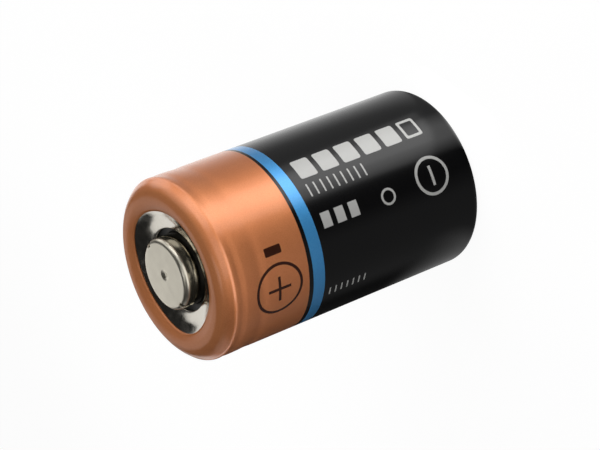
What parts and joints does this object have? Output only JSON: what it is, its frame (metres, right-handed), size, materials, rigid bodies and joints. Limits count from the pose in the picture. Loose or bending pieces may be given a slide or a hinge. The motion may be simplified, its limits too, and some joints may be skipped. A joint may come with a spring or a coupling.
{
  "type": "lithium camera battery",
  "caption": "Short cylindrical lithium cell in a copper and black film, with a raised positive contact and a flat negative one.",
  "frame": {"origin": "middle of the negative end, on the surface that the cell stands on", "axes": "+Z along the cell's axis, towards the positive contact"},
  "size_m": [0.0156, 0.0156, 0.0269],
  "materials": {
    "printed_film": "printed shrink film, glossy",
    "can_steel": "bright nickel plate",
    "gasket_plastic": "matte black polypropylene",
    "cap_steel": "satin nickel plate",
    "vent_foil": "rolled foil",
    "plate_steel": "stamped",
    "insulator_plastic": "moulded",
    "electrode": "pressed oxide and foil, wound",
    "tab_steel": "rolled strip"
  },
  "bodies": {
    "root": {"printed_sleeve": "printed_film", "cell_can": "can_steel", "sealing_gasket": "gasket_plastic", "positive_cap": "cap_steel", "vent_disc": "vent_foil", "contact_plate": "plate_steel", "upper_insulator": "insulator_plastic", "electrode_roll": "electrode", "cathode_tab": "tab_steel", "anode_tab": "tab_steel", "lower_insulator": "insulator_plastic"}
  },
  "joints": []
}
